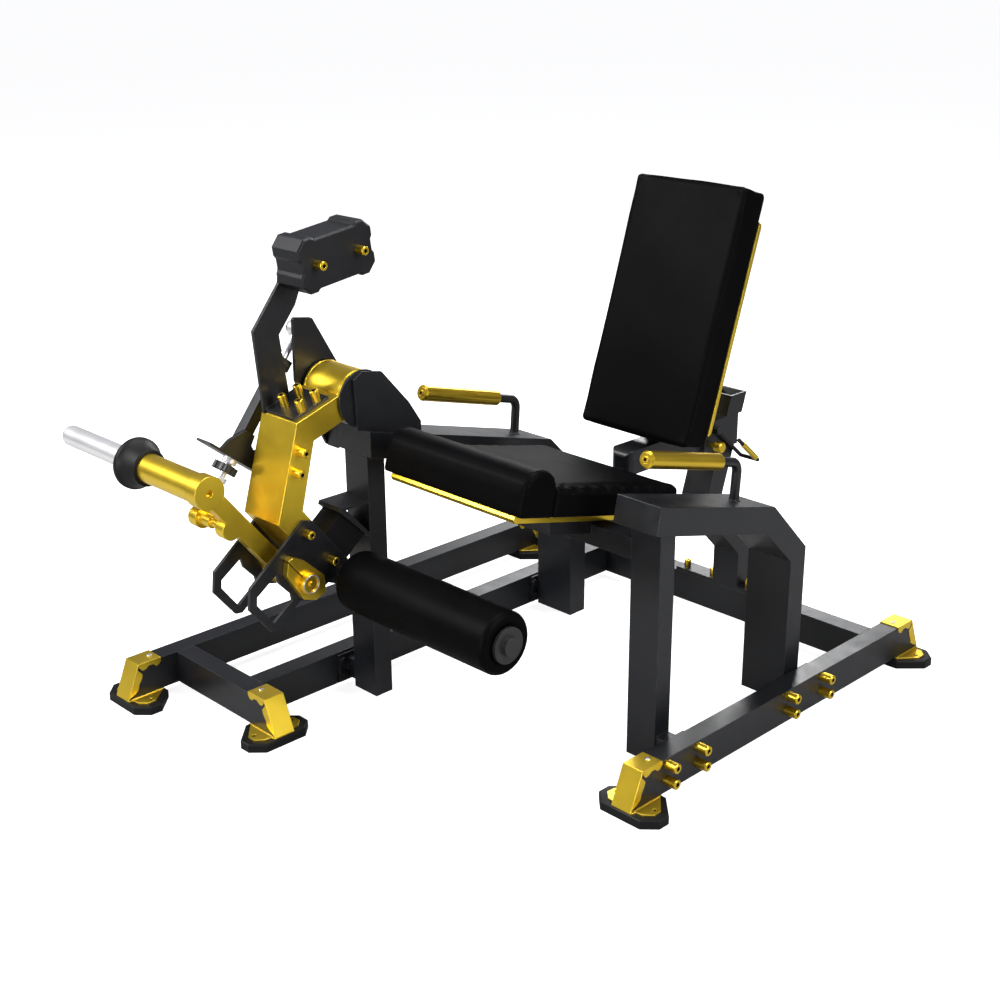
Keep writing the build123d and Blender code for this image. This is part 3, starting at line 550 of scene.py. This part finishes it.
def ankle_roller():
    """Foam roller: rounded rims, a stitched end panel set in a little, and a faint belly."""
    low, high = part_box("ankle_roller")
    centre = ((low.y + high.y) / 2, (low.z + high.z) / 2)
    outer = (high.y - low.y) / 2
    x0, x1 = low.x, high.x
    corner = 0.014
    profile = [(x0 + 0.004, AXLE_RADIUS), (x0 + 0.002, 0.046), (x0, 0.05)]
    profile += arc(x0 + corner, outer - corner - 0.001, corner, 180, 90)
    for step in range(1, 12):
        along = step / 12
        belly = 0.001 * math.sin(math.pi * along)
        profile.append((x0 + corner + along * (x1 - x0 - 2 * corner), outer - 0.001 + belly))
    profile += arc(x1 - corner, outer - corner - 0.001, corner, 90, 0)
    profile += [(x1, 0.05), (x1 - 0.002, 0.046), (x1 - 0.004, AXLE_RADIUS)]
    obj = lathe("ankle_roller_foam", profile, centre, 128)
    settle(obj, "upholstery", "roller")
    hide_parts("ankle_roller")
    for x, name in ((x0 + 0.006, "roller_seam_right"), (x1 - 0.006, "roller_seam_left")):
        ring = lathe_ring(name, x, centre, outer - 0.0052, PIPING)
        settle(ring, "upholstery", "roller")


def lathe_ring(name, x, centre, radius, thick):
    """Round ring about the X axis, thick being its cord's radius."""
    profile = []
    for step in range(10):
        turn = 2 * math.pi * step / 10
        profile.append((x + thick * math.cos(turn), radius + thick * math.sin(turn)))
    return lathe(name, profile, centre)


def horn_collar():
    """Rubber bumper cone: rounded rim, waisted flank and a bead where it meets the sleeve."""
    low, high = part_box("horn_collar")
    centre = ((low.y + high.y) / 2, (low.z + high.z) / 2)
    x = low.x
    outer = (high.y - low.y) / 2
    profile = [(x, HORN_RADIUS), (x, outer - 0.008)]
    profile += arc(x + 0.006, outer - 0.006, 0.006, 180, 90, 6)
    profile += arc(x + 0.012, outer - 0.005, 0.005, 90, 30, 5)
    profile += [(x + 0.024, outer - 0.0075), (x + 0.036, 0.0478)]
    profile += [(x + 0.048, 0.0438), (x + 0.053, 0.0425)]
    profile += arc(x + 0.057, 0.0395, 0.003, 90, 0, 5)
    profile += [(x + 0.060, 0.0337), (x + 0.0585, 0.0337), (x + 0.0585, HORN_RADIUS)]
    obj = lathe("horn_collar_rubber", profile, centre)
    settle(obj, "rubber", "lever")
    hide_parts("horn_collar")


def bead(name, centre, ring_radius, x, thick, slot, body):
    """Fillet weld, groove ring or snap ring round a shaft that runs along X."""
    return settle(lathe_ring(name, x, centre, ring_radius, thick), slot, body)


def middle(node):
    """Centre of a CAD node's box."""
    low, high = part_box(node)
    return (low + high) / 2


def handle_welds():
    """Weld bead round the foot of each handle, laid on the arch's sloping top."""
    for side in ("right", "left"):
        low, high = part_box(side + "_handle")
        x = (low.x + high.x) / 2
        centre = Vector((x, HANDLE_FOOT[0], HANDLE_FOOT[1]))
        along = Vector((0.0, math.cos(ARCH_SLOPE), math.sin(ARCH_SLOPE)))
        points = []
        for step in range(40):
            turn = 2 * math.pi * step / 40
            ripple = 0.0118 + 0.0004 * math.sin(11 * turn)
            sideways = Vector((ripple * math.cos(turn), 0, 0))
            points.append(centre + sideways + along * ripple * math.sin(turn))
        settle(tube_loop(side + "_handle_weld", points, 0.0022), "frame_paint", "frame")


def bail_grip():
    """Short yellow sleeve on the backrest's release bail, with a rounded end each side."""
    low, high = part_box("release_lever")
    x = high.x - 0.005
    end = Vector((x, high.y - 0.005, low.z + 0.005))
    back = Vector((0.0, -0.759, 0.651))
    points = [end + back * (0.012 + 0.075 * step / 12) for step in range(13)]
    settle(tube_loop("bail_grip", points, 0.0072, closed=False), "gold_paint", "release")


def trims():
    """Small parts added in Blender: weld beads, rings and the bail's sleeve."""
    sleeve = middle("horn_sleeve")
    sleeve_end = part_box("horn_sleeve")[1].x
    sleeve_centre = (sleeve.y, sleeve.z)
    bead("sleeve_weld", sleeve_centre, 0.0345, sleeve_end - 0.001, 0.0022, "gold_paint", "lever")
    hub = middle("hub_shaft")
    hub_centre = (hub.y, hub.z)
    drum_low, drum_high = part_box("hub_drum")
    bead("drum_ring", hub_centre, 0.0622, drum_high.x - 0.006, 0.0016, "gold_metal", "arm")
    bead("drum_ring_far", hub_centre, 0.0622, drum_low.x + 0.006, 0.0016, "gold_metal", "arm")
    shaft = middle("lever_shaft")
    shaft_centre = (shaft.y, shaft.z)
    shaft_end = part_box("lever_shaft")[1].x
    bead("shaft_ring", shaft_centre, 0.0185, shaft_end - 0.0195, 0.0016, "gold_metal", "arm")
    bead("shaft_snap_ring", shaft_centre, 0.0205, shaft_end - 0.0023, 0.0012, "steel", "arm")
    handle_welds()
    bail_grip()


def carried_over():
    """Every CAD node keeps its own solid and takes its slot's material."""
    for name, obj in NODES.items():
        paint(obj, SLOT_OF[name])
        obj.data.shade_smooth()
        obj.data.set_sharp_from_angle(angle=math.radians(28))


def painted_socket_shade(node, reach=0.012):
    """Painted shade inside a node's bolt sockets: the black steel material laid on walls that face each
    other, and their floor.
    """
    mesh = NODES[node].data
    # painted shade: this dark material stands in for the shadow down in each socket
    mesh.materials.append(MATERIALS["black_steel"])
    corners = [tuple(round(c, 5) for c in v.co) for v in mesh.vertices]
    tree = BVHTree.FromPolygons([v.co for v in mesh.vertices], [p.vertices for p in mesh.polygons])
    inside = set()
    for face in mesh.polygons:
        start = face.center + face.normal * 0.0002
        if tree.ray_cast(start, face.normal, reach)[0] is not None:
            inside.update(corners[v] for v in face.vertices)
    for face in mesh.polygons:
        # faces deep in a socket take the dark material as painted shade
        if all(corners[v] in inside for v in face.vertices):
            face.material_index = 1


# ---------------------------------------------------------------- studio

def area_light(name, place, aim_height, size, watts):
    """Soft box aimed at a height on the machine's middle."""
    light = bpy.data.lights.new(name, "AREA")
    light.shape = "RECTANGLE"
    light.size = size[0]
    light.size_y = size[1]
    light.energy = watts
    obj = bpy.data.objects.new(name, light)
    bpy.context.scene.collection.objects.link(obj)
    obj.location = place
    direction = Vector((0, 0, aim_height)) - Vector(place)
    obj.rotation_mode = "QUATERNION"
    obj.rotation_quaternion = direction.to_track_quat("-Z", "Y")
    return obj


def studio_floor():
    """Pale floor: white to the camera, and a quiet grey in reflections."""
    corners = [(x * FLOOR_HALF, y * FLOOR_HALF, 0) for x, y in ((-1, -1), (1, -1), (1, 1), (-1, 1))]
    floor = mesh_object("studio_floor", corners, [(0, 1, 2, 3)])
    material = bpy.data.materials.new("studio_floor")
    material.use_nodes = True
    tree = material.node_tree
    shader = tree.nodes["Principled BSDF"]
    seen = tree.nodes.new("ShaderNodeLightPath").outputs["Is Camera Ray"]
    grey = mixed(tree, seen, (0.30, 0.30, 0.30), (0.62, 0.62, 0.62))
    tree.links.new(grey, shader.inputs["Base Color"])
    tree.links.new(ranged(tree, seen, 0.0, 0.86, 0.0, 1.0), shader.inputs["Emission Strength"])
    shader.inputs["Emission Color"].default_value = (1.0, 1.0, 1.0, 1.0)
    shader.inputs["Roughness"].default_value = 0.8
    material.cycles.emission_sampling = "NONE"
    floor.data.materials.append(material)
    return floor


def studio():
    """Lights, floor and a world that is white to the camera and dim in reflections."""
    lights = [area_light(*settings) for settings in LIGHTS]
    studio_floor()
    world = bpy.data.worlds.new("studio")
    bpy.context.scene.world = world
    world.use_nodes = True
    tree = world.node_tree
    background = tree.nodes["Background"]
    seen = tree.nodes.new("ShaderNodeLightPath").outputs["Is Camera Ray"]
    sky = mixed(tree, seen, (0.17, 0.172, 0.19), (1.0, 1.0, 1.0))
    tree.links.new(sky, background.inputs["Color"])
    bpy.context.scene.view_settings.view_transform = "Standard"


def camera():
    """Camera at the photograph's viewing angle."""
    a, e = CAMERA_AZIMUTH, CAMERA_ELEVATION
    back = Vector((math.sin(a) * math.cos(e), -math.cos(a) * math.cos(e), math.sin(e)))
    right = Vector((math.cos(a), math.sin(a), 0.0))
    up = back.cross(right)
    c, s = math.cos(CAMERA_ROLL), math.sin(CAMERA_ROLL)
    turned_right = right * c + up * s
    turned_up = up * c - right * s
    data = bpy.data.cameras.new("camera")
    data.lens = LENS
    data.sensor_width = SENSOR
    obj = bpy.data.objects.new("camera", data)
    bpy.context.scene.collection.objects.link(obj)
    turn = Matrix((turned_right, turned_up, back)).transposed().to_4x4()
    obj.matrix_world = Matrix.Translation(Vector(CAMERA_PLACE)) @ turn
    bpy.context.scene.camera = obj


carried_over()
painted_socket_shade("arm_bolts")
painted_socket_shade("frame_bolts")
trims()
soft_goods()
ankle_roller()
horn_collar()
studio()
camera()
